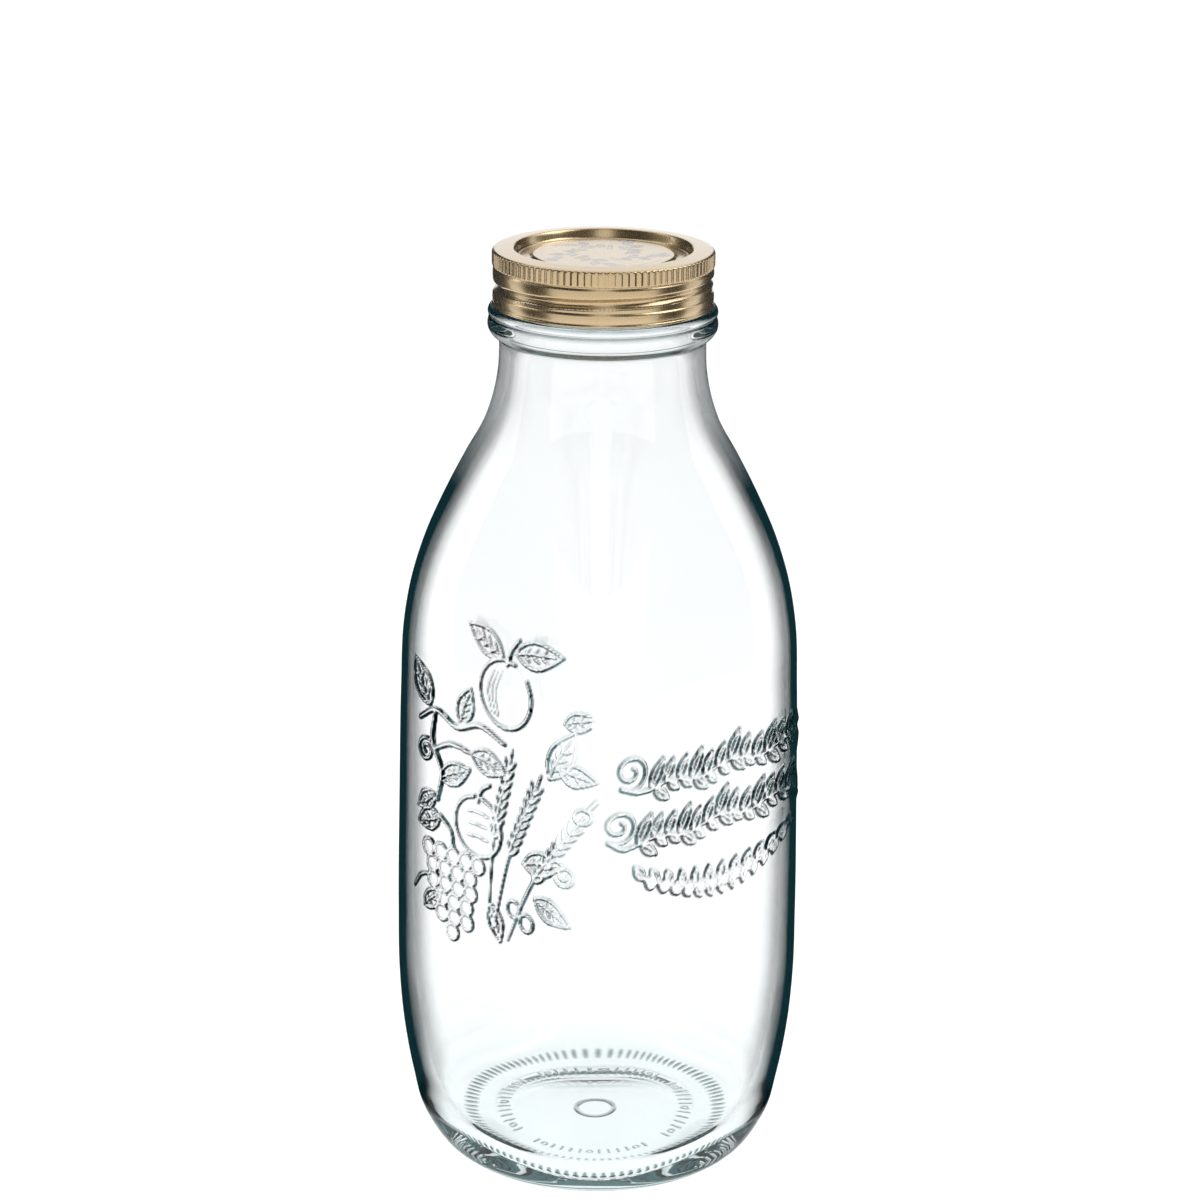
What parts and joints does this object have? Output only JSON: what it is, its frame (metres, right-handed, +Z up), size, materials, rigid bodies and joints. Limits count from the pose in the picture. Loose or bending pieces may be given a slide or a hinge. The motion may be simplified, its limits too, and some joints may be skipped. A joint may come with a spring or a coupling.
{
  "type": "glass milk bottle",
  "caption": "Clear square-shouldered glass milk bottle with rounded corners, a beaded threaded mouth and a one-piece metal screw cap lined with a soft sealing ring.",
  "frame": {"origin": "on the bottle's axis, at the plane it stands on", "axes": "+Z up along the bottle's axis; the four flat faces look along +X, +Y, -X and -Y, the one with the fruit relief along -Y and the one with the sprig relief along +X"},
  "size_m": [0.0848, 0.0848, 0.237],
  "materials": {
    "clear_glass": "clear soda-lime glass, glossy",
    "gold_cap": "tinplate with a satin pale-gold lacquer",
    "seal_compound": "soft off-white sealing compound, matt"
  },
  "bodies": {
    "bottle": {"glass_bottle": "clear_glass"},
    "seal": {"sealing_ring": "seal_compound"},
    "cap": {"screw_cap": "gold_cap"}
  },
  "joints": [
    {"name": "cap_lift", "type": "slide", "parent": "bottle", "child": "seal", "axis": [0, 0, 1], "range_m": [0, 0.02]},
    {"name": "cap_turn", "type": "hinge", "parent": "seal", "child": "cap", "pos_m": [0, 0, 0.235], "axis": [0, 0, 1], "range_deg": [0, 1800]}
  ],
  "couplings": [
    {"joint": "cap_lift", "follows": "cap_turn", "m_per_rad": 0.00063662}
  ]
}
